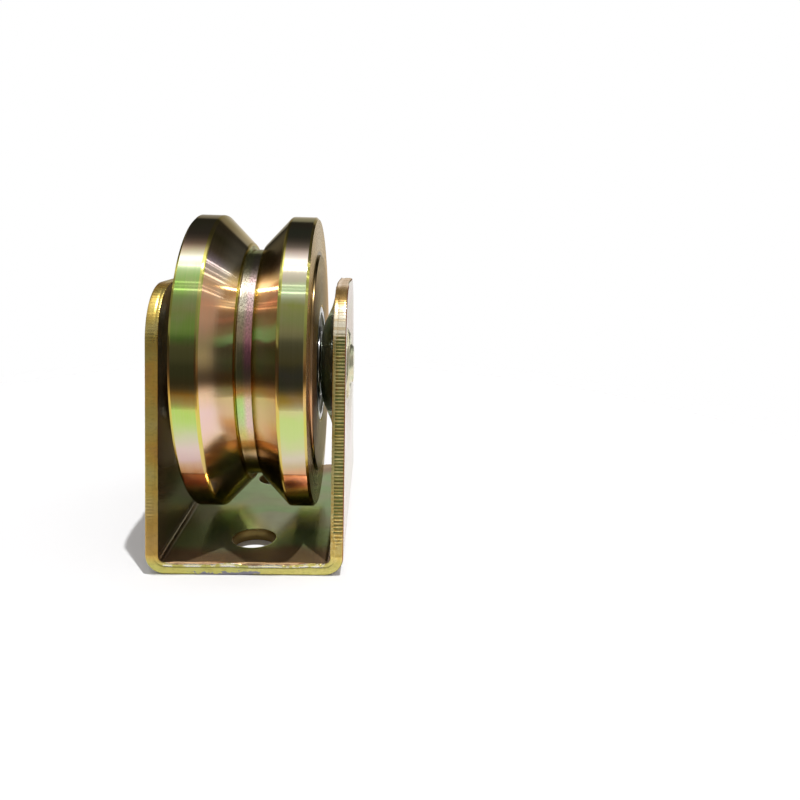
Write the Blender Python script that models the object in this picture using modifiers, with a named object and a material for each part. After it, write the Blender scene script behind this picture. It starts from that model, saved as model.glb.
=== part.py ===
"""Gate wheel: a V-grooved steel wheel on two sealed ball bearings, held in a folded plate bracket.

Metres, +Z up. X runs along the axle and Y along the way the wheel rolls. The origin is the middle
of the base plate's lower face, the face that is bolted to the gate.
"""

import math

import bmesh
import bpy
from mathutils import Matrix

MM = 0.001
GAP = 0.3 * MM              # clearance kept between neighbouring solids
MERGE = 0.00001             # merge distance of every modifier that merges
OVERSHOOT = 1.0 * MM        # how far a cutting shape runs past the face that it cuts
ENDS = (("left", -1), ("right", 1))

# Wheel, as half sizes from its middle plane where it is symmetric
WHEEL_RADIUS = 40.0 * MM
RIM_FACE = 15.75 * MM       # axial place of the rim's side face
RIM_CHAMFER = 0.6 * MM
LAND_EDGE = 9.1 * MM        # where the flat land ends and the groove's cone starts
GROOVE_EDGE = 1.95 * MM     # half width of the relief at the bottom of the groove
CONE_FOOT_RADIUS = 32.6 * MM
RELIEF_RADIUS = 31.1 * MM
HUB_FACE = 16.35 * MM       # raised disc round the bearing, slightly proud of the rim
HUB_DISC_RADIUS = 30.0 * MM
HUB_DISC_CHAMFER = 0.25 * MM
SHOULDER_RADIUS = 14.2 * MM
WHEEL_STEPS = 64

# Ball bearing of the 12 x 32 x 10 size
BEARING_BORE_RADIUS = 6.0 * MM
BEARING_RADIUS = 16.0 * MM
BEARING_WIDTH = 10.0 * MM
BEARING_CENTRE = HUB_FACE - BEARING_WIDTH / 2
INNER_RING_RADIUS = 9.1 * MM
OUTER_RING_LIP = 12.9 * MM
SEAL_SEAT_RADIUS = 14.2 * MM
SEAL_SEAT_DEPTH = 1.1 * MM
SEAL_THICKNESS = 0.6 * MM
SEAL_INSET = 0.15 * MM
RING_CHAMFER = 0.5 * MM
BALL_COUNT = 7
BALL_RADIUS = 2.75 * MM
PITCH_RADIUS = 11.0 * MM
CAGE_INNER_RADIUS = 10.1 * MM
CAGE_OUTER_RADIUS = 11.9 * MM
CAGE_HALF_WIDTH = 3.75 * MM
POCKET_RADIUS = BALL_RADIUS + 0.4 * MM
RING_STEPS = 36

# Axle: a hexagon bolt M12 x 45 with a thin nut, both sunk in the ears' dimples
AXLE_HEIGHT = 46.5 * MM
BOLT_RADIUS = 6.0 * MM
BOLT_LENGTH = 45.0 * MM
BOLT_END_CHAMFER = 0.9 * MM
HEX_ACROSS_FLATS = 18.0 * MM
HEX_FACE_SHARE = 0.95       # flat round face left by the chamfer, as a share of the width
HEX_CHAMFER = math.radians(30.0)
HEAD_HEIGHT = 7.5 * MM
NUT_HEIGHT = 4.9 * MM
SPACER_RADIUS = 8.5 * MM

# Bracket, folded from one plate
PLATE = 3.2 * MM
BRACKET_HALF_WIDTH = 24.4 * MM
BASE_HALF_DEPTH = 37.0 * MM
EAR_TOP = 69.5 * MM
EAR_SQUARE_HEIGHT = 5.0 * MM        # the ears are as deep as the base up to here
EAR_TAPER = math.radians(11.0)      # then each edge leans in by this much
EAR_CORNER_RADIUS = 16.0 * MM
BEND_INNER_RADIUS = 1.5 * MM
BEND_OUTER_RADIUS = BEND_INNER_RADIUS + PLATE
BASE_HOLE_RADIUS = 5.5 * MM
BASE_HOLE_OFFSET = 22.5 * MM
BEND_STEPS = 5
CORNER_STEPS = 7
DIMPLE_STEPS = 40
HOLE_STEPS = 24

# The dimple that is pressed inwards round each axle hole. Each slope is a row of points from the
# rim towards the middle, as radius and depth below the ear's inner or outer face.
DIMPLE_RIM_RADIUS = 24.5 * MM
DIMPLE_TIP_RADIUS = 9.3 * MM
DIMPLE_DEPTH = BRACKET_HALF_WIDTH - PLATE - HUB_FACE - GAP
DIMPLE_RIM_STEP = 0.1 * MM
DIMPLE_SLOPE_MM = ((22.8, 0.25), (19.0, 1.0), (16.4, 1.65), (14.5, 2.5), (11.3, 3.95))
RECESS_FLOOR_RADIUS = 10.9 * MM
RECESS_DEPTH = 5.1 * MM
RECESS_SLOPE_MM = ((23.6, 0.05), (21.2, 0.7), (18.9, 1.3), (16.0, 2.1), (13.6, 3.4))

YELLOW_ZINC = (0.62, 0.52, 0.24)
PALE_ZINC = (0.70, 0.64, 0.42)
BEARING_STEEL = (0.60, 0.60, 0.62)
BALL_STEEL = (0.72, 0.72, 0.74)
SEAL_RUBBER = (0.02, 0.02, 0.02)


def clear_scene():
    for item in list(bpy.data.objects):
        bpy.data.objects.remove(item, do_unlink=True)


def new_collection(name):
    collection = bpy.data.collections.new(name)
    bpy.context.scene.collection.children.link(collection)
    return collection


def material(name, colour, roughness, metallic):
    result = bpy.data.materials.new(name)
    result.use_nodes = True
    shader = result.node_tree.nodes["Principled BSDF"]
    shader.inputs["Base Color"].default_value = (*colour, 1.0)
    shader.inputs["Roughness"].default_value = roughness
    shader.inputs["Metallic"].default_value = metallic
    return result


def axle_empty(name, collection):
    """An empty on the axle line whose local Z points along world +X."""
    empty = bpy.data.objects.new(name, None)
    empty.location = (0, 0, AXLE_HEIGHT)
    empty.rotation_euler = (0, math.radians(90), 0)
    empty.empty_display_size = 0.02
    collection.objects.link(empty)
    return empty


def add_object(name, mesh, collection, finish=None, parent=None):
    item = bpy.data.objects.new(name, mesh)
    if finish:
        mesh.materials.append(finish)
    item.parent = parent
    collection.objects.link(item)
    return item


def as_cutter(item):
    item.hide_render = True
    item.display_type = "WIRE"
    return item


def boolean(item, other, operation):
    modifier = item.modifiers.new(f"{operation.lower()} {other.name}", "BOOLEAN")
    modifier.operation = operation
    modifier.solver = "EXACT"
    modifier.object = other


def bake(item):
    """Replace an object's mesh by its evaluated mesh, then drop its modifiers."""
    bpy.context.view_layer.update()
    evaluated = item.evaluated_get(bpy.context.evaluated_depsgraph_get())
    mesh = bpy.data.meshes.new_from_object(evaluated)
    mesh.name = item.name
    item.modifiers.clear()
    item.data = mesh


def smooth(item, angle=35):
    item.data.shade_smooth()
    item.data.set_sharp_from_angle(angle=math.radians(angle))


def turned(name, profile, collection, steps, finish=None, parent=None):
    """Turn (radius, height) points about local Z. A profile that starts on the axis is solid, and
    any other is closed into a ring."""
    mesh = bpy.data.meshes.new(name)
    shape = bmesh.new()
    verts = [shape.verts.new((radius, 0, height)) for radius, height in profile]
    has_bore = profile[0][0] > 0
    pairs = list(zip(verts, verts[1:]))
    if has_bore:
        pairs.append((verts[-1], verts[0]))
    for start, end in pairs:
        shape.edges.new((start, end))
    shape.to_mesh(mesh)
    shape.free()
    item = add_object(name, mesh, collection, finish, parent)
    screw = item.modifiers.new("turn", "SCREW")
    screw.steps = steps
    screw.render_steps = steps
    screw.use_merge_vertices = True
    screw.merge_threshold = MERGE
    bake(item)
    smooth(item)
    return item


def mirrored(profile):
    """The same profile turned over end for end."""
    return [(radius, -height) for radius, height in reversed(profile)]


def cylinder(name, radius, height, steps, collection):
    mesh = bpy.data.meshes.new(name)
    shape = bmesh.new()
    bmesh.ops.create_cone(
        shape, cap_ends=True, segments=steps, radius1=radius, radius2=radius, depth=height
    )
    shape.to_mesh(mesh)
    shape.free()
    return add_object(name, mesh, collection)


def arc(centre, radius, start, end, steps):
    """Points on an arc, with angles in degrees."""
    points = []
    for index in range(steps + 1):
        angle = math.radians(start + (end - start) * index / steps)
        points.append((centre[0] + radius * math.cos(angle), centre[1] + radius * math.sin(angle)))
    return points


def outline_solid(name, outline, half_thickness, rotation, collection, finish=None):
    """A flat outline extruded both ways, then made a closed mesh."""
    curve = bpy.data.curves.new(name, "CURVE")
    curve.dimensions = "2D"
    curve.fill_mode = "BOTH"
    curve.extrude = half_thickness
    spline = curve.splines.new("POLY")
    spline.points.add(len(outline) - 1)
    for point, (x, y) in zip(spline.points, outline):
        point.co = (x, y, 0, 1)
    spline.use_cyclic_u = True
    guide = bpy.data.objects.new(name + "_outline", curve)
    guide.rotation_euler = rotation
    collection.objects.link(guide)
    bpy.context.view_layer.update()
    mesh = bpy.data.meshes.new_from_object(guide.evaluated_get(bpy.context.evaluated_depsgraph_get()))
    shape = bmesh.new()
    shape.from_mesh(mesh)
    bmesh.ops.remove_doubles(shape, verts=shape.verts, dist=MERGE)
    bmesh.ops.recalc_face_normals(shape, faces=shape.faces)
    shape.to_mesh(mesh)
    shape.free()
    item = add_object(name, mesh, collection, finish)
    item.matrix_world = guide.matrix_world
    bpy.data.objects.remove(guide, do_unlink=True)
    return item


def hexagon(name, bottom, top, chamfers, collection, finish, parent):
    """A hexagon prism along local Z with its corners turned off at the chosen ends."""
    flat = HEX_ACROSS_FLATS / 2
    corner = flat / math.cos(math.pi / 6)
    height = top - bottom
    mesh = bpy.data.meshes.new(name)
    shape = bmesh.new()
    bmesh.ops.create_cone(
        shape, cap_ends=True, segments=6, radius1=corner, radius2=corner, depth=height
    )
    shape.to_mesh(mesh)
    shape.free()
    mesh.transform(Matrix.Translation((0, 0, (bottom + top) / 2)))
    item = add_object(name, mesh, collection, finish, parent)
    face = flat * HEX_FACE_SHARE
    outside = corner + OVERSHOOT
    drop = (outside - face) * math.tan(HEX_CHAMFER)
    if "top" in chamfers:
        profile = [(0, top), (face, top), (outside, top - drop)]
    else:
        profile = [(0, top + OVERSHOOT), (outside, top + OVERSHOOT)]
    if "bottom" in chamfers:
        profile += [(outside, bottom + drop), (face, bottom), (0, bottom)]
    else:
        profile += [(outside, bottom - OVERSHOOT), (0, bottom - OVERSHOOT)]
    blank = as_cutter(turned(name + "_chamfer", profile, cutters, RING_STEPS, parent=parent))
    boolean(item, blank, "INTERSECT")
    return item


def bracket():
    """One plate folded into a U: base, two tapering ears, a dimple and an axle hole in each ear."""
    bend_x = BRACKET_HALF_WIDTH - BEND_OUTER_RADIUS
    bend_z = BEND_OUTER_RADIUS
    above = EAR_TOP + OVERSHOOT
    inner_face = BRACKET_HALF_WIDTH - PLATE
    section = [(-BRACKET_HALF_WIDTH, above)]
    section += arc((-bend_x, bend_z), BEND_OUTER_RADIUS, 180, 270, BEND_STEPS)
    section += arc((bend_x, bend_z), BEND_OUTER_RADIUS, 270, 360, BEND_STEPS)
    section += [(BRACKET_HALF_WIDTH, above), (inner_face, above)]
    section += arc((bend_x, bend_z), BEND_INNER_RADIUS, 360, 270, BEND_STEPS)
    section += arc((-bend_x, bend_z), BEND_INNER_RADIUS, 270, 180, BEND_STEPS)
    section += [(-inner_face, above)]
    upright = (math.radians(90), 0, 0)
    half_depth = BASE_HALF_DEPTH + OVERSHOOT
    plate = outline_solid("bracket", section, half_depth, upright, parts, yellow_zinc)
    for end, side in ENDS:
        profile = dimple_profile(side)
        dimple = as_cutter(turned(f"dimple_{end}", profile, cutters, DIMPLE_STEPS, parent=axle))
        boolean(plate, dimple, "UNION")
    boolean(plate, ear_outline(), "INTERSECT")
    for end, side in ENDS:
        profile = recess_profile(side)
        recess = as_cutter(turned(f"recess_{end}", profile, cutters, DIMPLE_STEPS, parent=axle))
        boolean(plate, recess, "DIFFERENCE")
    radius = BOLT_RADIUS + GAP
    hole = as_cutter(cylinder("axle_hole", radius, 4 * BRACKET_HALF_WIDTH, HOLE_STEPS, cutters))
    hole.parent = axle
    boolean(plate, hole, "DIFFERENCE")
    for side, name in ((-1, "base_hole_front"), (1, "base_hole_back")):
        hole = as_cutter(cylinder(name, BASE_HOLE_RADIUS, 4 * PLATE, HOLE_STEPS, cutters))
        hole.location = (0, side * BASE_HOLE_OFFSET, PLATE / 2)
        boolean(plate, hole, "DIFFERENCE")


def ear_outline():
    """The side view of the bracket: square at the base, tapering to a flat top with round corners."""
    lean = math.tan(EAR_TAPER)
    turn = 90 - math.degrees(EAR_TAPER)
    edge_at_top = BASE_HALF_DEPTH - (EAR_TOP - EAR_SQUARE_HEIGHT) * lean
    centre_y = edge_at_top - EAR_CORNER_RADIUS * math.tan(math.radians(turn / 2))
    centre_z = EAR_TOP - EAR_CORNER_RADIUS
    start = math.degrees(EAR_TAPER)
    half = [(BASE_HALF_DEPTH, -OVERSHOOT), (BASE_HALF_DEPTH, EAR_SQUARE_HEIGHT)]
    half += arc((centre_y, centre_z), EAR_CORNER_RADIUS, start, 90, CORNER_STEPS)
    outline = half + [(-y, z) for y, z in reversed(half)]
    sideways = (math.radians(90), 0, math.radians(90))
    return as_cutter(outline_solid("ear_outline", outline, 2 * BRACKET_HALF_WIDTH, sideways, cutters))


def dimple_profile(side):
    """The metal that is pressed inwards, reaching the bearing's inner ring at its tip."""
    face = BRACKET_HALF_WIDTH - PLATE
    root = face + PLATE / 2
    points = [(0, root), (DIMPLE_RIM_RADIUS, root), (DIMPLE_RIM_RADIUS, face + DIMPLE_RIM_STEP)]
    points += [(radius * MM, face - depth * MM) for radius, depth in DIMPLE_SLOPE_MM]
    points += [(DIMPLE_TIP_RADIUS, face - DIMPLE_DEPTH), (0, face - DIMPLE_DEPTH)]
    return points if side > 0 else mirrored(points)


def recess_profile(side):
    """The hollow that the same pressing leaves outside, which takes the bolt's head or the nut."""
    face = BRACKET_HALF_WIDTH
    points = [(0, face + OVERSHOOT), (DIMPLE_RIM_RADIUS, face + OVERSHOOT)]
    points += [(radius * MM, face - depth * MM) for radius, depth in RECESS_SLOPE_MM]
    points += [(RECESS_FLOOR_RADIUS, face - RECESS_DEPTH), (0, face - RECESS_DEPTH)]
    return points if side > 0 else mirrored(points)


def wheel():
    """Half of the section from the right face to the middle, then the same mirrored."""
    pocket_radius = BEARING_RADIUS + GAP
    pocket_floor = HUB_FACE - BEARING_WIDTH - GAP
    half = [
        (SHOULDER_RADIUS, pocket_floor),
        (pocket_radius, pocket_floor),
        (pocket_radius, HUB_FACE - RING_CHAMFER),
        (pocket_radius + RING_CHAMFER, HUB_FACE),
        (HUB_DISC_RADIUS - HUB_DISC_CHAMFER, HUB_FACE),
        (HUB_DISC_RADIUS, HUB_FACE - HUB_DISC_CHAMFER),
        (HUB_DISC_RADIUS, RIM_FACE),
        (WHEEL_RADIUS - RIM_CHAMFER, RIM_FACE),
        (WHEEL_RADIUS, RIM_FACE - RIM_CHAMFER),
        (WHEEL_RADIUS, LAND_EDGE),
        (CONE_FOOT_RADIUS, GROOVE_EDGE),
        (RELIEF_RADIUS, GROOVE_EDGE),
    ]
    turned("wheel", half + mirrored(half), parts, WHEEL_STEPS, yellow_zinc, wheel_axle)


def race_arc(centre_radius, shoulder_radius, height):
    """The groove that the balls run in, as an arc about the ball's centre cut at a shoulder."""
    groove = BALL_RADIUS + GAP
    sign = 1 if shoulder_radius > centre_radius else -1
    half_angle = math.degrees(math.acos(abs(shoulder_radius - centre_radius) / groove))
    middle = 0 if sign > 0 else 180
    return arc((centre_radius, height), groove, middle - half_angle, middle + half_angle, 4)


def inner_ring(name, height):
    top = height + BEARING_WIDTH / 2
    bottom = height - BEARING_WIDTH / 2
    bore = BEARING_BORE_RADIUS + GAP
    race = race_arc(PITCH_RADIUS, INNER_RING_RADIUS, height)
    profile = [
        (bore + RING_CHAMFER, top),
        (INNER_RING_RADIUS - RING_CHAMFER / 2, top),
        (INNER_RING_RADIUS, top - RING_CHAMFER / 2),
        *race,
        (INNER_RING_RADIUS, bottom + RING_CHAMFER / 2),
        (INNER_RING_RADIUS - RING_CHAMFER / 2, bottom),
        (bore + RING_CHAMFER, bottom),
        (bore, bottom + RING_CHAMFER),
        (bore, top - RING_CHAMFER),
    ]
    turned(name, profile, parts, RING_STEPS, bearing_steel, axle)


def outer_ring(name, height):
    top = height + BEARING_WIDTH / 2
    bottom = height - BEARING_WIDTH / 2
    race = race_arc(PITCH_RADIUS, OUTER_RING_LIP, height)
    profile = [
        (SEAL_SEAT_RADIUS, top),
        (BEARING_RADIUS - RING_CHAMFER, top),
        (BEARING_RADIUS, top - RING_CHAMFER),
        (BEARING_RADIUS, bottom + RING_CHAMFER),
        (BEARING_RADIUS - RING_CHAMFER, bottom),
        (SEAL_SEAT_RADIUS, bottom),
        (SEAL_SEAT_RADIUS, bottom + SEAL_SEAT_DEPTH),
        (OUTER_RING_LIP, bottom + SEAL_SEAT_DEPTH),
        *race,
        (OUTER_RING_LIP, top - SEAL_SEAT_DEPTH),
        (SEAL_SEAT_RADIUS, top - SEAL_SEAT_DEPTH),
    ]
    turned(name, profile, parts, RING_STEPS, bearing_steel, wheel_axle)


def seal(name, height, side):
    """A flat rubber ring just inside a bearing's face; side is +1 at its right face."""
    outside = height + side * (BEARING_WIDTH / 2 - SEAL_INSET)
    inside = outside - side * SEAL_THICKNESS
    top, bottom = max(outside, inside), min(outside, inside)
    outer_radius = SEAL_SEAT_RADIUS - GAP
    inner_radius = INNER_RING_RADIUS + GAP
    profile = [(inner_radius, top), (outer_radius, top), (outer_radius, bottom), (inner_radius, bottom)]
    turned(name, profile, parts, RING_STEPS, seal_rubber, wheel_axle)


def ball_places(height):
    for index in range(BALL_COUNT):
        angle = 2 * math.pi * index / BALL_COUNT
        yield (-PITCH_RADIUS * math.cos(angle), PITCH_RADIUS * math.sin(angle), height)


def balls(end, height, parent):
    mesh = bpy.data.meshes.new("ball")
    shape = bmesh.new()
    bmesh.ops.create_uvsphere(shape, u_segments=12, v_segments=7, radius=BALL_RADIUS)
    shape.to_mesh(mesh)
    shape.free()
    mesh.materials.append(ball_steel)
    mesh.shade_smooth()
    for number, place in enumerate(ball_places(height), start=1):
        ball = add_object(f"ball_{end}_{number}", mesh, parts, parent=parent)
        ball.location = place


def cage(name, height, parent):
    """The ring between the balls, with a round pocket for each."""
    top = height + CAGE_HALF_WIDTH
    bottom = height - CAGE_HALF_WIDTH
    profile = [
        (CAGE_INNER_RADIUS, top),
        (CAGE_OUTER_RADIUS, top),
        (CAGE_OUTER_RADIUS, bottom),
        (CAGE_INNER_RADIUS, bottom),
    ]
    ring = turned(name, profile, parts, RING_STEPS, ball_steel, parent)
    mesh = bpy.data.meshes.new(name + "_pockets")
    shape = bmesh.new()
    for place in ball_places(height):
        turn = Matrix.Translation(place)
        bmesh.ops.create_uvsphere(shape, u_segments=10, v_segments=6, radius=POCKET_RADIUS, matrix=turn)
    shape.to_mesh(mesh)
    shape.free()
    boolean(ring, as_cutter(add_object(name + "_pockets", mesh, cutters, parent=parent)), "DIFFERENCE")


def bearing(end, side):
    height = side * BEARING_CENTRE
    inner_ring(f"bearing_{end}_inner_ring", height)
    outer_ring(f"bearing_{end}_outer_ring", height)
    seal(f"bearing_{end}_outer_seal", height, side)
    seal(f"bearing_{end}_inner_seal", height, -side)
    ball_axle = axle_empty(f"ball_axle_{end}", parts)
    cage(f"bearing_{end}_cage", height, ball_axle)
    balls(end, height, ball_axle)


def spacer():
    """The tube that keeps the two bearings' inner rings apart."""
    half = BEARING_CENTRE - BEARING_WIDTH / 2 - GAP
    bore = BOLT_RADIUS + GAP
    profile = [(bore, half), (SPACER_RADIUS, half), (SPACER_RADIUS, -half), (bore, -half)]
    turned("bearing_spacer", profile, parts, RING_STEPS, bearing_steel, axle)


def axle_bolt():
    """The hexagon bolt that is the axle. Its head is sunk in the left ear."""
    seat = -(BRACKET_HALF_WIDTH - RECESS_DEPTH + GAP)
    head = hexagon("axle_bolt", seat - HEAD_HEIGHT, seat, ("bottom",), parts, pale_zinc, axle)
    end = seat + BOLT_LENGTH
    shank_profile = [
        (0, end),
        (BOLT_RADIUS - BOLT_END_CHAMFER, end),
        (BOLT_RADIUS, end - BOLT_END_CHAMFER),
        (BOLT_RADIUS, seat - HEAD_HEIGHT / 2),
        (0, seat - HEAD_HEIGHT / 2),
    ]
    shank = as_cutter(turned("bolt_shank", shank_profile, cutters, RING_STEPS, parent=axle))
    boolean(head, shank, "UNION")


def axle_nut():
    seat = BRACKET_HALF_WIDTH - RECESS_DEPTH + GAP
    nut = hexagon("axle_nut", seat, seat + NUT_HEIGHT, ("top", "bottom"), parts, pale_zinc, axle)
    bore = as_cutter(cylinder("nut_bore", BOLT_RADIUS + GAP, 4 * NUT_HEIGHT, HOLE_STEPS, cutters))
    bore.parent = axle
    bore.location = (0, 0, seat + NUT_HEIGHT / 2)
    boolean(nut, bore, "DIFFERENCE")


clear_scene()
parts = new_collection("gate_wheel")
cutters = new_collection("cutters")
yellow_zinc = material("yellow zinc plate", YELLOW_ZINC, 0.3, 1.0)
pale_zinc = material("pale zinc plate", PALE_ZINC, 0.35, 1.0)
bearing_steel = material("ground steel", BEARING_STEEL, 0.2, 1.0)
ball_steel = material("polished steel", BALL_STEEL, 0.1, 1.0)
seal_rubber = material("black seal rubber", SEAL_RUBBER, 0.5, 0.0)
axle = axle_empty("axle", parts)
wheel_axle = axle_empty("wheel_axle", parts)

bracket()
wheel()
for end_name, end_side in ENDS:
    bearing(end_name, end_side)
spacer()
axle_bolt()
axle_nut()
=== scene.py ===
"""Looks of the gate wheel: turned wheel, folded bracket, bearings, bolt and nut, with lights and camera.

Lengths in this file are millimetres until a mesh is made. X runs along the axle, Y along the way the
wheel rolls, Z up, and the origin is the middle of the bracket's underside.
"""

import bisect
import math
import random

import bmesh
import bpy
from mathutils import Matrix, Vector
from mathutils.geometry import delaunay_2d_cdt
from mathutils.kdtree import KDTree


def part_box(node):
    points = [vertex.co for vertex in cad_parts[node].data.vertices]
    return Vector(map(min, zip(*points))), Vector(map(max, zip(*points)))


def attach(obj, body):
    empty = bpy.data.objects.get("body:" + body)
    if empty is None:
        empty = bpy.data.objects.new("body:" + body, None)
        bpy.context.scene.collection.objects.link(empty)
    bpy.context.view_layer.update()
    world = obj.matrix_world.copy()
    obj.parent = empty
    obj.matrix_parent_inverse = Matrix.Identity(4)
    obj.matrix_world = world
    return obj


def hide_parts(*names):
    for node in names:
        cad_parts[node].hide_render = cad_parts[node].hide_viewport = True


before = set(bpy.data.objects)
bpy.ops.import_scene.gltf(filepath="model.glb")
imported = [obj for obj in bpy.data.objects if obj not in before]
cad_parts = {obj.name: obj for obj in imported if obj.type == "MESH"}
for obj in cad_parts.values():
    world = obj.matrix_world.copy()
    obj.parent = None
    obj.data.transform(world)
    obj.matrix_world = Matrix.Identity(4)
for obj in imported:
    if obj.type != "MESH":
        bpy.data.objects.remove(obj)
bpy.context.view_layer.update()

MM = 0.001
AXLE_Z = 46.5

# Wheel
WHEEL_R = 40.0
RIM_X = 15.75
RIM_CHAMFER = 0.62
HUB_X = 16.35
HUB_R = 30.0
LAND_X = 9.1
GROOVE_X = 1.95
CONE_FOOT_R = 32.6
RELIEF_R = 31.1
EDGE_BREAK = 1.2
SHOULDER_R = 14.2
POCKET_R = 16.03
POCKET_X = 6.2
WHEEL_STEPS = 320

# Bearing
BEARING_X = 11.35
BEARING_HALF = 5.0
BORE_R = 6.02
INNER_R = 9.1
SEAT_R = 14.2
OUTER_R = 16.0
LIP_R = 12.9
SEAL_STEP = 1.1
RACE_HALF = 2.4
RACE_FLOOR_HALF = 1.6
RACE_DEPTH = 0.75
BALL_R = 2.8
RING_STEPS = 128
# Each corner of a seal: depth under the bearing's face, radius, rounding
SEAL_PROFILE = (
    (0.3, SEAT_R, 0.1), (0.12, SEAT_R - 0.45, 0.2), (0.42, SEAT_R - 1.1, 0.2),
    (0.34, INNER_R + 1.6, 0.2), (0.14, INNER_R + 1.1, 0.15), (0.16, INNER_R + 0.5, 0.15),
    (0.36, INNER_R + 0.06, 0.05), (0.75, INNER_R + 0.06, 0.05), (0.78, SEAT_R, 0.1),
)

# Bracket
PLATE = 3.2
HALF_WIDTH = 24.4
HALF_DEPTH = 37.0
EAR_TOP = 69.5
SQUARE_Z = 5.0
TAPER = math.radians(11.0)
CORNER_R = 16.0
BEND_IN = 1.5
BEND_OUT = BEND_IN + PLATE
BEND_MID = BEND_IN + PLATE / 2
FLAT_HALF = HALF_WIDTH - BEND_OUT
BEND_LENGTH = BEND_MID * math.pi / 2
AXLE_HOLE_R = 6.1
BASE_HOLE_R = 5.5
BASE_HOLE_Y = 22.5
HOLE_STEPS = 120
EDGE_STEP = 0.25
EAR_STEP = 0.12
FACE_STEP = 0.8
RING_CLEAR = 3.3
RIDGE_RIGHT = 0.2
RIDGE_LEFT = 0.05
TEAR_DEPTH = 0.085
BURR_SHARE = 0.22
BURR_HEIGHT = 0.16
DIMPLE_R = 26.0
# (radius round the axle hole, depth) of the pressed slopes
INNER_SLOPE = (
    (24.8, 0.0), (22.8, 0.25), (19.0, 1.0), (16.4, 1.65), (14.5, 2.5), (11.3, 3.95), (9.3, 4.55),
)
OUTER_SLOPE = ((24.3, 0.0), (21.2, 0.7), (18.9, 1.3), (16.0, 2.1), (13.6, 3.4), (10.9, 5.1))

# Bolt and nut
THREAD_PITCH = 1.75
BOLT_R = 6.0
THREAD_ROOT_R = 5.05
BOLT_END_X = 25.4
HEAD_OUT_X = -27.1
HEAD_IN_X = -19.4
NUT_IN_X = 19.4
NUT_OUT_X = 24.5
PLAIN_END_X = 15.0
BOLT_END_R = 4.9
HEX_FLAT = 9.0
HEX_FACE = HEX_FLAT - 0.02
HEX_CORNER = HEX_FACE / math.cos(math.pi / 6)
HEX_TOP_R = HEX_FLAT * 0.95


# ---- meshes


def clamp(value):
    return min(1.0, max(0.0, value))


def new_object(name, data):
    item = bpy.data.objects.new(name, data)
    bpy.context.scene.collection.objects.link(item)
    return item


def mesh_object(name, points, faces, materials, slots=None):
    """A smooth-shaded mesh from points in millimetres."""
    mesh = bpy.data.meshes.new(name)
    mesh.from_pydata([tuple(c * MM for c in point) for point in points], [], faces)
    for finish in materials:
        mesh.materials.append(finish)
    if slots:
        mesh.polygons.foreach_set("material_index", slots)
    mesh.validate()
    mesh.shade_smooth()
    return new_object(name, mesh)


def solid(name, points, faces, materials, slots=None, angle=50):
    """A closed mesh with its faces turned outwards. Its flat faces stay flat next to rounded edges,
    and edges sharper than the angle stay sharp."""
    item = mesh_object(name, points, faces, materials, slots)
    shape = bmesh.new()
    shape.from_mesh(item.data)
    bmesh.ops.recalc_face_normals(shape, faces=shape.faces)
    shape.to_mesh(item.data)
    shape.free()
    item.data.shade_smooth()
    item.data.set_sharp_from_angle(angle=math.radians(angle))
    modifier = item.modifiers.new("weighted normals", "WEIGHTED_NORMAL")
    modifier.keep_sharp = True
    modifier.weight = 80
    return item


def place(item, body, slot, *nodes):
    """Let a finished piece ride on its body in place of its CAD nodes."""
    if nodes:
        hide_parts(*nodes)
    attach(item, body)


def rounded(corners, steps):
    """Round each corner (x, r, radius, slot, slot of the rounding) of a closed profile; gives
    (x, r, slot) points."""
    points = []
    for index, (x, r, radius, slot, *bend) in enumerate(corners):
        here = Vector((x, r))
        back = Vector(corners[index - 1][:2]) - here
        ahead = Vector(corners[(index + 1) % len(corners)][:2]) - here
        half = back.angle(ahead) / 2
        reach = min(radius / math.tan(half), 0.45 * back.length, 0.45 * ahead.length)
        start = here + back.normalized() * reach
        end = here + ahead.normalized() * reach
        for step in range(steps + 1):
            t = step / steps
            spot = start * (1 - t) ** 2 + here * 2 * t * (1 - t) + end * t ** 2
            points.append((spot.x, spot.y, bend[0] if bend and step < steps else slot))
    return points


def angles_round(count):
    """Evenly spaced angles of a whole turn."""
    return [2 * math.pi * step / count for step in range(count)]


def ring_points(x, radii):
    """One ring of points round the axle, one for each radius."""
    ring = []
    for angle, r in zip(angles_round(len(radii)), radii):
        ring.append((x, -r * math.cos(angle), AXLE_Z + r * math.sin(angle)))
    return ring


def lathe(name, profile, steps, materials):
    """Turn a closed (x, r, slot) profile about the axle."""
    points, faces, slots = [], [], []
    for x, r, slot in profile:
        first = len(points)
        following = (first + steps) % (len(profile) * steps)
        points += ring_points(x, [r] * steps)
        for step in range(steps):
            near = (step + 1) % steps
            faces.append((first + step, first + near, following + near, following + step))
            slots.append(slot)
    return solid(name, points, faces, materials, slots)


def wheel_piece():
    side, land, cone, relief, hub, edge = range(6)
    half = [
        (POCKET_X, SHOULDER_R, 0.3, side),
        (POCKET_X, POCKET_R, 0.1, side),
        (HUB_X - 0.5, POCKET_R, 0.1, side),
        (HUB_X, POCKET_R + 0.5, 0.12, hub),
        (HUB_X, HUB_R, 0.35, side),
        (RIM_X, HUB_R + 0.05, 0.2, side),
        (RIM_X, WHEEL_R - RIM_CHAMFER, 0.14, edge),
        (RIM_X - RIM_CHAMFER, WHEEL_R, 0.14, land),
        (LAND_X, WHEEL_R, EDGE_BREAK, cone, edge),
        (GROOVE_X, CONE_FOOT_R, EDGE_BREAK, relief, edge),
        (GROOVE_X, RELIEF_R, 0.4, relief),
    ]
    other = []
    for index in range(len(half) - 1, -1, -1):
        x, r, radius, _, *bend = half[index]
        slot = half[index - 1][3] if index > 0 else side
        other.append((-x, r, radius, slot, *bend))
    item = lathe("wheel_turned", rounded(half + other, 4), WHEEL_STEPS, wheel_finishes)
    place(item, "wheel", "wheel_zinc", "wheel")


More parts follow.
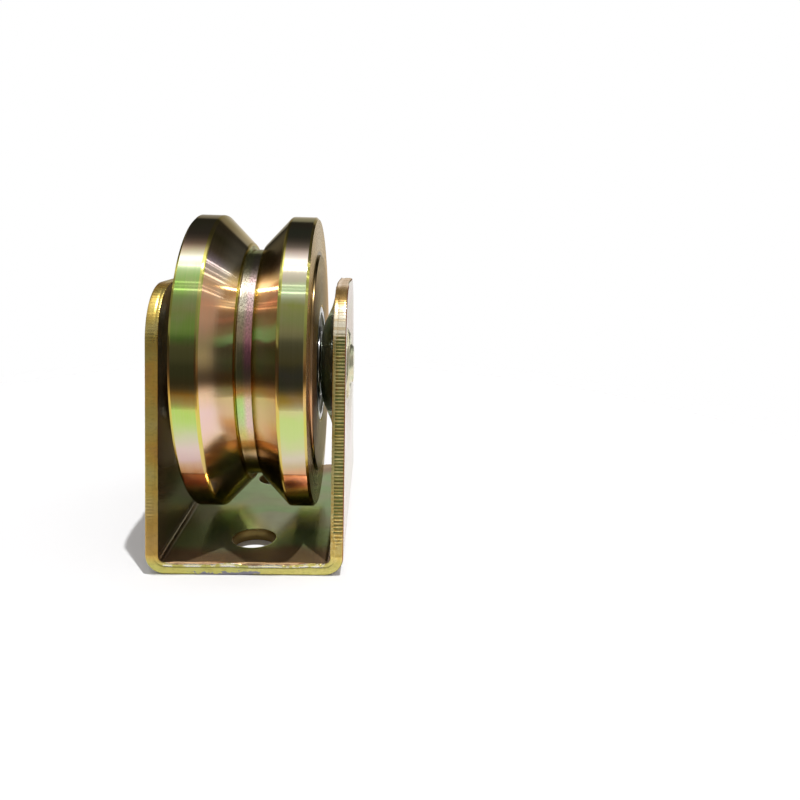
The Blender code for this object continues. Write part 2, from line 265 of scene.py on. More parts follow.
def ring_piece(name, corners, finish, body, slot, node):
    """A bearing's ring or seal from (x, r, radius) corners."""
    profile = rounded([(*corner, 0) for corner in corners], 2)
    place(lathe(name, profile, RING_STEPS, [finish]), body, slot, node)


def bearing_pieces(end, side):
    """Rings, seals and balls of one bearing; side is -1 for the left end and 1 for the right."""
    middle = side * BEARING_X
    out = middle + side * BEARING_HALF
    back = middle - side * BEARING_HALF

    def race(way, lip, floor):
        """The groove that the balls run in."""
        return [
            (middle + way * RACE_HALF, lip, 0.1),
            (middle + way * RACE_FLOOR_HALF, floor, 0.8),
            (middle - way * RACE_FLOOR_HALF, floor, 0.8),
            (middle - way * RACE_HALF, lip, 0.1),
        ]

    inner = [
        (out, BORE_R, 0.45),
        (out, INNER_R, 0.3),
        *race(side, INNER_R, INNER_R - RACE_DEPTH),
        (back, INNER_R, 0.3),
        (back, BORE_R, 0.45),
    ]
    node = f"bearing_{end}_inner_ring"
    ring_piece(f"ring_inner_{end}", inner, ground_steel, "bracket", "bearing_steel", node)
    mouth = SEAT_R + 0.02
    outer = [
        (out, mouth, 0.2),
        (out, OUTER_R, 0.5),
        (back, OUTER_R, 0.5),
        (back, mouth, 0.2),
        (back + side * SEAL_STEP, mouth, 0.05),
        (back + side * SEAL_STEP, LIP_R, 0.1),
        *race(-side, LIP_R, LIP_R + RACE_DEPTH),
        (out - side * SEAL_STEP, LIP_R, 0.1),
        (out - side * SEAL_STEP, mouth, 0.05),
    ]
    node = f"bearing_{end}_outer_ring"
    ring_piece(f"ring_outer_{end}", outer, ground_steel, "wheel", "bearing_steel", node)
    for where, face, inward in (("outer", out, -side), ("inner", back, side)):
        lid = [(face + inward * depth, r, radius) for depth, r, radius in SEAL_PROFILE]
        node = f"bearing_{end}_{where}_seal"
        ring_piece(f"seal_{end}_{where}", lid, rubber, "wheel", "seal_rubber", node)
    for number in range(1, 8):
        node = f"ball_{end}_{number}"
        low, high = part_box(node)
        ball_piece(f"steel_ball_{end}_{number}", (low + high) / 2, f"ball_set_{end}", node)


def ball_piece(name, centre, body, node):
    mesh = bpy.data.meshes.new(name)
    shape = bmesh.new()
    where = Matrix.Translation(centre)
    bmesh.ops.create_icosphere(shape, subdivisions=4, radius=BALL_R * MM, matrix=where)
    shape.to_mesh(mesh)
    shape.free()
    mesh.materials.append(ball_steel)
    mesh.shade_smooth()
    place(new_object(name, mesh), body, "ball_steel", node)


# ---- bolt and nut


def hex_radius(_, angle):
    """Distance from the axle to the hexagon's edge, which is the same all along it."""
    sector = math.pi / 3
    return HEX_FACE / math.cos((angle + sector / 2) % sector - sector / 2)


def shank_radius(x, angle):
    """The plain shank, then the thread's flanks."""
    if x <= PLAIN_END_X + 0.3:
        return BOLT_R
    turn = ((x - THREAD_PITCH * angle / (2 * math.pi)) / THREAD_PITCH) % 1.0
    flank = clamp((abs(turn - 0.5) * 2 - 0.1) / 0.75)
    return THREAD_ROOT_R + (BOLT_R - 0.08 - THREAD_ROOT_R) * flank


def hex_chamfer(x, way, steps):
    """(x, limit) stations down the 30 degree chamfer of a hexagon's end."""
    slope = math.tan(math.radians(30))
    stations = [(x, HEX_TOP_R)]
    for step in range(1, steps + 1):
        r = HEX_TOP_R + (HEX_CORNER - HEX_TOP_R) * step / steps
        stations.append((x + way * (r - HEX_TOP_R) * slope, r + 0.02))
    return stations


def grid_of_turn(name, stations, radius_at, steps, angle, hole=()):
    """Rows of points round the axle at each (x, limit) station. The first and last rows are capped,
    or joined to each other through the (x, r) rows of the hole when there is one."""
    points = []
    for x, limit in stations:
        points += ring_points(x, [min(limit, radius_at(x, at)) for at in angles_round(steps)])
    for x, r in hole:
        points += ring_points(x, [r] * steps)
    rows = [range(first, first + steps) for first in range(0, len(points), steps)]
    faces = [] if hole else [tuple(rows[0]), tuple(reversed(rows[-1]))]
    for row, following in zip(rows, rows[1:] + rows[:1] if hole else rows[1:]):
        for step in range(steps):
            near = (step + 1) % steps
            faces.append((row[step], following[step], following[near], row[near]))
    return solid(name, points, faces, [pale_zinc], angle=angle)


def bolt_pieces():
    dish = HEAD_OUT_X + 0.25
    stations = [(dish, 6.4), (dish, 7.4), (HEAD_OUT_X, 7.9), *hex_chamfer(HEAD_OUT_X, 1, 12)]
    stations += [(HEAD_IN_X - 0.5, HEX_CORNER), (HEAD_IN_X - 0.45, HEX_FLAT - 0.15)]
    stations += [(HEAD_IN_X, HEX_FLAT - 0.2), (HEAD_IN_X, BOLT_R)]
    head = grid_of_turn("bolt_head", stations, hex_radius, 192, 25)
    place(head, "bracket", "fastener_zinc", "axle_bolt")
    plain_r = BOLT_R - 0.02
    stations = [(HEAD_IN_X - 0.4, plain_r), (PLAIN_END_X, plain_r)]
    stations += [(PLAIN_END_X + 0.4, THREAD_ROOT_R + 0.1)]
    x = PLAIN_END_X + 0.5
    while x < BOLT_END_X - 0.02:
        stations.append((x, min(BOLT_R, BOLT_END_R + (BOLT_END_X - x) * 1.25)))
        x += THREAD_PITCH / 14
    stations += [(BOLT_END_X, BOLT_END_R), (BOLT_END_X, 4.6), (BOLT_END_X - 0.12, 3.2)]
    shank = grid_of_turn("bolt_shank", stations, shank_radius, 96, 30)
    place(shank, "bracket", "fastener_zinc")


def nut_piece():
    stations = hex_chamfer(NUT_IN_X, 1, 10) + hex_chamfer(NUT_OUT_X, -1, 10)[::-1]
    mouth_r, bore_r, lead = 6.75, 6.12, 0.6
    hole = [(NUT_OUT_X, mouth_r), (NUT_OUT_X - lead, bore_r)]
    hole += [(NUT_IN_X + lead, bore_r), (NUT_IN_X, mouth_r)]
    item = grid_of_turn("nut_hexagon", stations, hex_radius, 192, 25, hole)
    place(item, "bracket", "fastener_zinc", "axle_nut")


# ---- bracket


def slope_depth(slope, r):
    """Depth of a pressed slope at a radius, softened over about a millimetre."""

    def straight(radius):
        if radius >= slope[0][0]:
            return slope[0][1]
        for (r1, d1), (r2, d2) in zip(slope, slope[1:]):
            if radius >= r2:
                return d1 + (d2 - d1) * (r1 - radius) / (r1 - r2)
        return slope[-1][1]

    reach = 1.1
    samples = [straight(r + reach * k / 4) for k in range(-4, 5)]
    weights = [1, 2, 3, 4, 4.5, 4, 3, 2, 1]
    return sum(s * w for s, w in zip(samples, weights)) / sum(weights)


def depth_at(u, v, t):
    """How far the dimple round the axle hole presses the plate inwards."""
    r = math.hypot(abs(u) - AXLE_U, v)
    if abs(u) < FLAT_HALF or r > DIMPLE_R:
        return 0.0
    outer = slope_depth(OUTER_SLOPE, r)
    return outer + (slope_depth(INNER_SLOPE, r) - outer) * t


def fold(u, v, t, lift=0.0):
    """Place of a point of the flat plate. u runs across the fold, v is depth along Y, t is 0 on the
    outer face and 1 on the inner face, and lift moves the point towards the inside."""
    side = 1 if u >= 0 else -1
    across = abs(u)
    if across <= FLAT_HALF:
        return (u, v, t * PLATE + lift)
    if across <= FLAT_HALF + BEND_LENGTH:
        angle = (across - FLAT_HALF) / BEND_MID
        r = BEND_OUT - t * PLATE - lift
        return (side * (FLAT_HALF + r * math.sin(angle)), v, BEND_OUT - r * math.cos(angle))
    height = BEND_OUT + across - FLAT_HALF - BEND_LENGTH
    return (side * (HALF_WIDTH - t * PLATE - lift), v, height)


def ear_u(z):
    return FLAT_HALF + BEND_LENGTH + z - BEND_OUT


AXLE_U = ear_u(AXLE_Z)


def plate_outline():
    """The flat plate's outline, anticlockwise, as (u, v) points EDGE_STEP apart, or EAR_STEP apart
    on the ears."""
    lean = math.tan(TAPER)
    edge_top = HALF_DEPTH - (EAR_TOP - SQUARE_Z) * lean
    turn = math.radians(90) - TAPER
    centre_y = edge_top - CORNER_R * math.tan(turn / 2)
    centre_z = EAR_TOP - CORNER_R
    right = [(0.0, -HALF_DEPTH), (ear_u(SQUARE_Z), -HALF_DEPTH)]
    for step in range(41):
        angle = TAPER + (math.pi / 2 - TAPER) * step / 40
        y = centre_y + CORNER_R * math.cos(angle)
        z = centre_z + CORNER_R * math.sin(angle)
        right.append((ear_u(z), -y))
    right += [(u, -v) for u, v in reversed(right)]
    corners = right + [(-u, -v) for u, v in right]
    outline = []
    for (u1, v1), (u2, v2) in zip(corners, corners[1:] + corners[:1]):
        length = math.hypot(u2 - u1, v2 - v1)
        if length < 1e-6:
            continue
        on_ear = min(abs(u1), abs(u2)) > ear_u(SQUARE_Z) - 0.01
        steps = max(1, round(length / (EAR_STEP if on_ear else EDGE_STEP)))
        for step in range(steps):
            t = step / steps
            outline.append((u1 + (u2 - u1) * t, v1 + (v2 - v1) * t))
    return outline


def outward_normals(loop):
    normals = []
    for index in range(len(loop)):
        u1, v1 = loop[index - 1]
        u2, v2 = loop[(index + 1) % len(loop)]
        length = math.hypot(u2 - u1, v2 - v1)
        normals.append(((v2 - v1) / length, -(u2 - u1) / length))
    return normals


def striations(outline):
    """How far the cut edge stands back at each outline point: ridges across the plate on the ears,
    strongest on the right one, and none on the base's straight edges."""
    draw = random.Random(11)
    depths = []
    position, start, pitch, height = 0.0, 0.0, 0.85, 1.0
    for index, (u, v) in enumerate(outline):
        if index:
            position += math.dist((u, v), outline[index - 1])
        while position >= start + pitch:
            start += pitch
            pitch = draw.uniform(0.72, 0.96)
            height = draw.uniform(0.6, 1.0)
        across = abs((position - start) / pitch * 2 - 1)
        on_ear = clamp((abs(u) - FLAT_HALF - 7.0) / 8.0)
        near_top = clamp((abs(u) - ear_u(57.0)) / 3.0)
        strength = on_ear * (RIDGE_RIGHT if u > 0 else RIDGE_LEFT) * (1.0 - 0.8 * near_top)
        depths.append(strength * height * (1 - across ** 1.6) + 0.02 * draw.random() * on_ear)
    return depths


def edge_sag(u):
    """How far the top of the base's end edges is drawn down, in slow waves that die at the bends."""
    ends = min(1.0, (FLAT_HALF - abs(u)) / 4.0)
    return 0.42 * ends * (1.0 + math.sin(0.46 * u + 0.4) * math.sin(0.17 * u + 1.9))


def in_hole(u, v, margin):
    """Whether a point of the flat plate lies in one of its holes or this close to it."""
    base = math.hypot(u, abs(v) - BASE_HOLE_Y) < BASE_HOLE_R + margin
    return base or math.hypot(abs(u) - AXLE_U, v) < AXLE_HOLE_R + margin


# Each level of a wall: place through the thickness, inset from the edge, share of the ridges
EDGE_LEVELS = (
    (0.0, 0.5, 0.0), (0.02, 0.28, 0.0), (0.07, 0.1, 0.3), (0.14, 0.02, 0.9), (0.3, 0.0, 1.0),
    (0.52, 0.0, 1.0), (0.64, 0.01, 0.8), (0.7, 0.12, 0.5), (0.74, 0.15, 0.3), (0.79, 0.06, 0.25),
    (0.9, 0.06, 0.2), (0.965, 0.08, 0.1), (1.0, 0.17, 0.0), (1.0, 0.42, 0.0), (1.0, 0.68, 0.0),
    (1.0, 0.9, 0.0),
)
HOLE_LEVELS = (
    (0.0, 0.6, 0), (0.0, 0.3, 0), (0.03, 0.12, 0), (0.1, 0.02, 0), (0.5, 0, 0),
    (0.88, 0.0, 0), (0.95, 0.06, 0), (0.985, 0.16, 0), (1.0, 0.3, 0), (1.0, 0.6, 0),
)
OUTER, CUT, TORN_AND_SHADE, INNER = range(4)


class PlateMesh:
    """The bracket's surface: walls along its cut edges, and the plate's two faces between them."""

    def __init__(self):
        self.points, self.faces, self.slots = [], [], []
        self.flat_points, self.borders, self.face_points = [], [], []
        self.draw = random.Random(5)

    def add_wall(self, loop, levels, way):
        """A wall along a closed loop. way is 1 for the outline, which has ridges, burrs and a sag,
        and -1 for a hole."""
        normals = outward_normals(loop)
        whole = way == 1
        ridges = striations(loop) if whole else [0.0] * len(loop)
        rows = []
        for t, inset, share in levels:
            rows.append(range(len(self.points), len(self.points) + len(loop)))
            for (u, v), (nu, nv), ridge in zip(loop, normals, ridges):
                back = way * (inset + ridge * share)
                burr = drop = 0.0
                if whole and t > 0.95 and inset < 0.3 and self.draw.random() < BURR_SHARE:
                    burr = self.draw.uniform(0.0, BURR_HEIGHT)
                    back -= burr * 0.7
                if whole and abs(u) < FLAT_HALF and t > 0.5 and inset < 0.6:
                    drop = edge_sag(u) * (2 * t - 1) * (1.0 if inset < 0.3 else 0.4)
                pu = u - nu * back
                pv = v - nv * back
                self.points.append(fold(pu, pv, t, depth_at(pu, pv, t) + burr * 0.5 - drop))
        for level in range(len(levels) - 1):
            row, following = rows[level], rows[level + 1]
            t, (t_next, _, share) = levels[level][0], levels[level + 1]
            for step in range(len(loop)):
                near = (step + 1) % len(loop)
                self.faces.append((row[step], row[near], following[near], following[step]))
                # Valleys between deep ridges take the darker finish, partly torn steel and partly painted
                # shade
                valley = ridges[step] > TEAR_DEPTH and share > 0.2
                rolled = whole and t_next <= 0.07 and loop[step][0] > FLAT_HALF
                if t == t_next:
                    self.slots.append(INNER if t_next > 0.5 else OUTER)
                else:
                    self.slots.append(TORN_AND_SHADE if valley or rolled else CUT)
        first = len(self.flat_points)
        back = way * levels[-1][1]
        for step, ((u, v), (nu, nv)) in enumerate(zip(loop, normals)):
            self.flat_points.append(Vector((u - nu * back, v - nv * back)))
            self.borders.append((first + step, first + (step + 1) % len(loop)))
            self.face_points.append((rows[0][step], rows[-1][step]))

    def add_point(self, u, v):
        """A point on both faces of the plate."""
        self.flat_points.append(Vector((u, v)))
        self.face_points.append((len(self.points), len(self.points) + 1))
        for t in (0.0, 1.0):
            self.points.append(fold(u, v, t, depth_at(u, v, t)))

    def fill_faces(self):
        """Triangles between the walls on both faces of the plate."""
        made = delaunay_2d_cdt(self.flat_points, self.borders, [], 1, 1e-5)
        places, triangles, origins = made[0], made[2], made[3]
        for triangle in triangles:
            a, b, c = (places[i] for i in triangle)
            centre = (a + b + c) / 3
            empty = abs((b - a).cross(c - a)) < 1e-9
            if empty or in_hole(centre.x, centre.y, HOLE_LEVELS[-1][1] - 0.003):
                continue
            corners = [self.face_points[origins[i][0]] for i in triangle]
            self.faces.append(tuple(corner[0] for corner in reversed(corners)))
            self.faces.append(tuple(corner[1] for corner in corners))
            self.slots += [OUTER, INNER]


def spots_inside(outline):
    """(u, v, distance to keep from the outline) of points on the plate's faces: rows across the
    bends, rings round the axle holes, two rows along the ears' edges, and a grid on the base."""
    spots = []
    for side in (-1, 1):
        for row in range(9):
            u = side * (FLAT_HALF + BEND_LENGTH * row / 8)
            spots += [(u, step * FACE_STEP, 0.0) for step in range(-45, 46)]
        radius = AXLE_HOLE_R + 1.3
        while radius < DIMPLE_R + 0.5:
            count = 96 if radius < 15 else 160
            for step in range(count):
                angle = 2 * math.pi * (step + 0.5 * (round(radius * 1.25) % 2)) / count
                u = side * AXLE_U + radius * math.cos(angle)
                spots.append((u, radius * math.sin(angle), RING_CLEAR))
            radius += FACE_STEP
    normals = outward_normals(outline)
    for inset in (1.7, 2.5):
        last = (0.0, 0.0)
        for (u, v), (nu, nv) in zip(outline, normals):
            spot = (u - nu * inset, v - nv * inset)
            if abs(spot[0]) > FLAT_HALF + BEND_LENGTH and math.dist(spot, last) > 0.6:
                spots.append((*spot, inset - 0.05))
                last = spot
    return spots + [(u, v, 0.0) for v in range(-36, 37, 3) for u in range(-18, 19, 3)]


def bracket_piece():
    """The folded plate, with its cut edges and holes."""
    outline = plate_outline()
    plate = PlateMesh()
    plate.add_wall(outline, EDGE_LEVELS, 1)
    for centre_u, centre_v, radius in (
        (0.0, -BASE_HOLE_Y, BASE_HOLE_R),
        (0.0, BASE_HOLE_Y, BASE_HOLE_R),
        (AXLE_U, 0.0, AXLE_HOLE_R),
        (-AXLE_U, 0.0, AXLE_HOLE_R),
    ):
        circle = []
        for angle in angles_round(HOLE_STEPS):
            circle.append((centre_u + radius * math.cos(angle), centre_v + radius * math.sin(angle)))
        plate.add_wall(circle, HOLE_LEVELS, -1)

    half_outline = sorted((abs(u), abs(v)) for u, v in outline)

    def half_depth(across):
        """Half depth of the plate at this distance from its middle."""
        after = bisect.bisect_right(half_outline, across, key=lambda point: point[0])
        if after == len(half_outline):
            return 0.0
        return max(half_outline[after - 1][1], half_outline[after][1])

    rim = KDTree(len(outline))
    for index, (u, v) in enumerate(outline):
        rim.insert((u, v, 0.0), index)
    rim.balance()
    for u, v, clear in spots_inside(outline):
        inside = abs(v) < half_depth(abs(u)) - 1.3 and not in_hole(u, v, 0.9)
        if inside and rim.find((u, v, 0.0))[2] > clear:
            plate.add_point(u, v)
    plate.fill_faces()
    finishes = [outer_zinc, cut_zinc, torn_and_shade_zinc, inner_zinc]
    item = solid("bracket_plate", plate.points, plate.faces, finishes, plate.slots, 60)
    place(item, "bracket", "bracket_zinc", "bracket")


# ---- materials

EDGE_TINT = (0.66, 0.58, 0.42, 1.0)
STRAW = (0.7, 0.62, 0.34)
ROSE = (0.7, 0.46, 0.42)
PALE_ROSE = (0.72, 0.62, 0.58)
CREAM = (0.98, 0.87, 0.64)
IVORY = (1.0, 0.96, 0.8)
YELLOW = (0.98, 0.84, 0.36)
SAGE = (0.62, 0.96, 0.36)
OLIVE = (0.54, 0.55, 0.16)
DULL_OLIVE = (0.42, 0.34, 0.18)
RUST = (0.54, 0.26, 0.06)
BROWN = (0.6, 0.36, 0.2)
DARK_BROWN = (0.24, 0.15, 0.09)
UMBER = (0.1, 0.07, 0.03)
SOOT = (0.12, 0.09, 0.05)
BARE_STEEL = (0.3, 0.29, 0.33)
PLATE_TINTS = (
    (0.3, 0.76, 0.54, 0.46), (0.41, 0.66, 0.64, 0.36), (0.48, 0.58, 0.7, 0.34),
    (0.55, 0.56, 0.7, 0.34), (0.61, 0.72, 0.6, 0.44), (0.7, 0.76, 0.6, 0.5),
)
CUT_TINTS = (
    (0.3, 0.74, 0.4, 0.12), (0.42, 0.8, 0.5, 0.1), (0.52, 0.74, 0.56, 0.14), (0.7, 0.72, 0.62, 0.26),
)
PALE_TINTS = (
    (0.3, 0.66, 0.58, 0.36), (0.5, 0.74, 0.7, 0.5), (0.62, 0.6, 0.64, 0.42), (0.7, 0.76, 0.64, 0.54),
)
TORN_AND_SHADE_TINTS = ((0.3, 0.26, 0.16, 0.05), (0.5, 0.22, 0.22, 0.06), (0.7, 0.14, 0.18, 0.06))
# Tints (angle above the axle's level, r, g, b) of the wheel's left and right halves: film colour, with
# painted reflection and shade in their brightness
LAND_LEFT = (
    (-90, 0.45, 0.45, 0.2), (-50, 0.46, 0.34, 0.22), (-38, 0.6, 0.21, 0.16), (-34, 0.44, 0.16, 0.08),
    (-30.5, 0.42, 0.18, 0.06), (-27, 0.52, 0.32, 0.2), (-24, 0.6, 0.42, 0.4), (-19, 0.66, 0.52, 0.48),
    (-14, 0.56, 0.56, 0.36), (-9, 0.44, 0.6, 0.16), (-6, 0.42, 0.58, 0.12), (-3.5, 0.62, 0.46, 0.12),
    (0, 0.74, 0.36, 0.05), (3, 0.55, 0.38, 0.12), (8, 0.46, 0.44, 0.15), (17, 0.5, 0.48, 0.16),
    (19.5, 0.33, 0.55, 0.1), (24, 0.34, 0.52, 0.1), (29, 0.42, 0.46, 0.15), (33, 0.38, 0.52, 0.16),
    (39, 0.32, 0.6, 0.1), (43, 0.4, 0.56, 0.22), (47, 0.55, 0.6, 0.42), (50, 0.62, 0.62, 0.52),
    (54, 0.6, 0.52, 0.34), (58, 0.68, 0.44, 0.3), (64, 0.6, 0.48, 0.36), (72, 0.48, 0.5, 0.34),
    (80, 0.52, 0.48, 0.42), (90, 0.6, 0.57, 0.52),
)
LAND_RIGHT = (
    (-90, 0.45, 0.45, 0.2), (-50, 0.42, 0.35, 0.18), (-40, 1.0, 0.48, 0.36), (-34, 0.96, 0.54, 0.46),
    (-31, 0.7, 0.36, 0.2), (-27, 0.55, 0.43, 0.26), (-23, 0.6, 0.55, 0.42), (-18, 0.52, 0.62, 0.26),
    (-8, 0.5, 0.62, 0.2), (-5, 0.56, 0.56, 0.2), (-2, 0.68, 0.42, 0.05), (1, 0.66, 0.42, 0.06),
    (4, 0.46, 0.44, 0.2), (8, 0.42, 0.4, 0.26), (12, 0.52, 0.44, 0.16), (18, 0.48, 0.44, 0.2),
    (22, 0.48, 0.44, 0.18), (26, 0.46, 0.5, 0.17), (31, 0.5, 0.54, 0.14), (34, 0.66, 0.72, 0.44),
    (36, 0.58, 0.74, 0.44), (38, 0.64, 0.8, 0.44), (41, 0.62, 0.58, 0.42), (45, 0.58, 0.54, 0.42),
    (49, 0.62, 0.6, 0.55), (54, 0.62, 0.48, 0.4), (58, 0.6, 0.48, 0.36), (66, 0.46, 0.5, 0.36),
    (74, 0.48, 0.46, 0.36), (78, 0.66, 0.7, 0.5), (90, 0.62, 0.62, 0.58),
)
CONE_LEFT = (
    (-90, 0.4, 0.38, 0.2), (-60, 0.36, 0.3, 0.14), (-44, 0.4, 0.32, 0.24), (-34, 0.6, 0.38, 0.22),
    (-28, 0.8, 0.4, 0.12), (-24, 0.84, 0.52, 0.2), (-20, 0.8, 0.56, 0.36), (-14, 0.8, 0.56, 0.48),
    (-6, 0.8, 0.56, 0.52), (-1, 0.8, 0.54, 0.36), (4, 0.72, 0.44, 0.24), (12, 0.84, 0.6, 0.26),
    (17, 0.78, 0.58, 0.24), (24, 0.86, 0.48, 0.28), (32, 0.92, 0.46, 0.26), (36, 0.72, 0.42, 0.24),
    (41, 0.86, 0.52, 0.28), (45, 0.72, 0.56, 0.44), (50, 0.66, 0.52, 0.56), (54, 0.42, 0.3, 0.18),
    (64, 0.32, 0.26, 0.12), (71, 0.4, 0.34, 0.18), (75, 0.62, 0.48, 0.28), (84, 0.56, 0.48, 0.3),
    (90, 0.56, 0.54, 0.38),
)
CONE_RIGHT = (
    (-90, 0.36, 0.32, 0.16), (-60, 0.32, 0.26, 0.14), (-36, 0.34, 0.22, 0.14), (-26, 0.4, 0.2, 0.12),
    (-20, 0.58, 0.32, 0.15), (-15, 0.68, 0.56, 0.41), (-8, 0.62, 0.56, 0.35), (-3, 0.56, 0.54, 0.26),
    (0, 0.66, 0.44, 0.15), (4, 0.68, 0.44, 0.18), (8, 0.56, 0.62, 0.3), (12, 0.46, 0.58, 0.28),
    (18.5, 0.34, 0.3, 0.18), (19.5, 0.5, 0.96, 0.46), (23, 0.5, 0.94, 0.44), (26, 0.44, 0.46, 0.22),
    (31, 0.42, 0.26, 0.16), (34, 0.74, 0.34, 0.22), (36, 0.48, 0.27, 0.17), (40, 0.6, 0.36, 0.2),
    (42, 0.94, 0.74, 0.52), (44, 0.9, 0.66, 0.44), (48, 0.5, 0.3, 0.18), (52, 0.34, 0.22, 0.14),
    (60, 0.36, 0.3, 0.2), (68, 0.56, 0.5, 0.3), (78, 0.52, 0.5, 0.3), (90, 0.56, 0.54, 0.38),
)
RELIEF_LEFT = (
    (-60, 0.5, 0.48, 0.2), (-40, 0.7, 0.48, 0.26), (-30, 0.8, 0.54, 0.2),
    (-24, 0.62, 0.54, 0.16), (-18, 0.52, 0.6, 0.28), (-10, 0.44, 0.68, 0.24), (-5, 0.46, 0.64, 0.18),
    (-1, 0.84, 0.44, 0.12), (6, 0.44, 0.46, 0.18), (12, 0.48, 0.44, 0.2), (17, 0.54, 0.46, 0.24),
    (24, 0.66, 0.5, 0.32), (32, 0.72, 0.62, 0.42), (40, 0.74, 0.7, 0.56), (54, 0.8, 0.7, 0.54),
    (62, 0.84, 0.84, 0.52), (72, 0.66, 0.72, 0.44), (82, 0.62, 0.86, 0.52), (90, 0.3, 0.34, 0.24),
)
RELIEF_RIGHT = (
    (-60, 0.5, 0.48, 0.2), (-40, 0.7, 0.48, 0.26), (-30, 0.82, 0.5, 0.18),
    (-24, 0.72, 0.5, 0.26), (-18, 0.74, 0.52, 0.48), (-10, 0.72, 0.54, 0.46), (-5, 0.72, 0.52, 0.34),
    (-1, 0.84, 0.44, 0.16), (6, 0.56, 0.36, 0.26), (12, 0.76, 0.3, 0.38), (17, 0.86, 0.3, 0.42),
    (24, 0.9, 0.42, 0.44), (32, 0.9, 0.5, 0.52), (40, 0.84, 0.62, 0.62), (54, 0.86, 0.62, 0.62),
    (62, 0.86, 0.72, 0.6), (72, 0.66, 0.62, 0.5), (82, 0.64, 0.8, 0.54), (90, 0.3, 0.32, 0.24),
)
# Tints of the wheel's side faces and hub by the same angle, their brightness partly painted light
SIDE = (
    (-90, 0.52, 0.5, 0.2), (-60, 0.5, 0.46, 0.22), (-35, 0.6, 0.38, 0.24), (-10, 0.92, 0.46, 0.22),
    (5, 1.0, 0.62, 0.32), (22, 0.94, 0.58, 0.28), (40, 0.76, 0.48, 0.18), (65, 0.72, 0.54, 0.26),
    (90, 0.64, 0.54, 0.36),
)
GOLD = (
    (-90, 0.5, 0.42, 0.12), (-40, 0.56, 0.34, 0.08), (-22, 0.66, 0.52, 0.1), (-10, 0.6, 0.58, 0.12),
    (0, 0.74, 0.42, 0.08), (10, 0.6, 0.28, 0.08), (22, 0.44, 0.46, 0.1), (40, 0.58, 0.6, 0.14),
    (60, 0.66, 0.52, 0.14), (90, 0.56, 0.5, 0.28),
)


class Net:
    """Adds shader nodes to a tree and links them."""

    def __init__(self, tree):
        self.tree = tree

    def feed(self, socket, value):
        if isinstance(value, bpy.types.NodeSocket):
            self.tree.links.new(value, socket)
        else:
            socket.default_value = value

    def node(self, kind, inputs=None, **settings):
        made = self.tree.nodes.new(kind)
        for key, value in settings.items():
            setattr(made, key, value)
        for key, value in (inputs or {}).items():
            self.feed(made.inputs[key], value)
        return made

    def math(self, operation, *values):
        return self.node("ShaderNodeMath", dict(enumerate(values)), operation=operation).outputs[0]

    def plus(self, a, b):
        return self.math("ADD", a, b)

    def minus(self, a, b):
        return self.math("SUBTRACT", a, b)

    def size(self, value):
        return self.math("ABSOLUTE", value)

    def times(self, made, *others):
        for value in others:
            made = self.math("MULTIPLY", made, value)
        return made

    def vector(self, operation, a, b):
        return self.node("ShaderNodeVectorMath", {0: a, 1: b}, operation=operation).outputs[0]

    def stretch(self, vector, *scales):
        return self.vector("MULTIPLY", vector, scales)

    def distance(self, a, b):
        made = self.node("ShaderNodeVectorMath", {0: a, 1: b}, operation="DISTANCE")
        return made.outputs["Value"]

    def split(self, vector):
        return self.node("ShaderNodeSeparateXYZ", {0: vector}).outputs

    def join(self, x, y, z):
        return self.node("ShaderNodeCombineXYZ", {0: x, 1: y, 2: z}).outputs[0]

    def coordinates(self, kind="Object"):
        return self.node("ShaderNodeTexCoord").outputs[kind]

    def millimetres(self):
        """The piece's own coordinates in millimetres."""
        return self.vector("MULTIPLY", self.coordinates(), (1 / MM, 1 / MM, 1 / MM))

    def span(self, value, low, high, to_low=0.0, to_high=1.0, shape="LINEAR"):
        """Map a value from one range to another, held at the ends."""
        inputs = {"Value": value, "From Min": low, "From Max": high, "To Min": to_low, "To Max": to_high}
        return self.node("ShaderNodeMapRange", inputs, interpolation_type=shape).outputs["Result"]

    def ease(self, value, low, high, to_low=0.0, to_high=1.0):
        """A span that starts and ends softly."""
        return self.span(value, low, high, to_low, to_high, "SMOOTHSTEP")

    def noise(self, vector, scale, detail=2.0, roughness=0.5):
        inputs = {"Vector": vector, "Scale": scale, "Detail": detail, "Roughness": roughness}
        return self.node("ShaderNodeTexNoise", inputs).outputs[0]

    def ramp(self, value, stops, low, high):
        """Colour from (place, r, g, b) or (place, grey) stops whose places run from low to high."""
        made = self.node("ShaderNodeValToRGB", {0: self.span(value, low, high)})
        band = made.color_ramp
        while len(band.elements) > 1:
            band.elements.remove(band.elements[-1])
        for index, (place_at, *colour) in enumerate(stops):
            where = (place_at - low) / (high - low)
            element = band.elements[0] if index == 0 else band.elements.new(where)
            element.position = where
            element.color = (*(colour * 3 if len(colour) == 1 else colour), 1.0)
        return made.outputs[0]

    def mix(self, share, a, b):
        made = self.node("ShaderNodeMix", data_type="RGBA")
        for key, value in ((0, share), (6, a), (7, b)):
            self.feed(made.inputs[key], (*value, 1.0) if isinstance(value, tuple) else value)
        return made.outputs[2]

    def bump(self, height, distance, strength):
        inputs = {"Height": height, "Distance": distance, "Strength": strength}
        return self.node("ShaderNodeBump", inputs).outputs[0]

    def wire(self, **inputs):
        """Feed the material's own shader."""
        shader = self.tree.nodes["Principled BSDF"]
        for key, value in inputs.items():
            self.feed(shader.inputs[key.replace("_", " ")], value)


def new_material(name):
    finish = bpy.data.materials.new(name)
    finish.use_nodes = True
    return finish, Net(finish.node_tree)


def round_axle(net, at):
    """Coordinates of a turned piece in millimetres and degrees: radius, angle above the axle's level
    (the same in front and behind), and a vector for noise that is drawn out round the axle."""
    x, y, z = net.split(at)
    height = net.minus(z, AXLE_Z)
    radius = net.math("SQRT", net.plus(net.times(y, y), net.times(height, height)))
    angle = net.times(net.math("ARCTAN2", height, net.size(y)), 180 / math.pi)
    around = net.join(x, radius, net.times(net.math("ARCTAN2", height, y), 2.0))
    return radius, angle, around


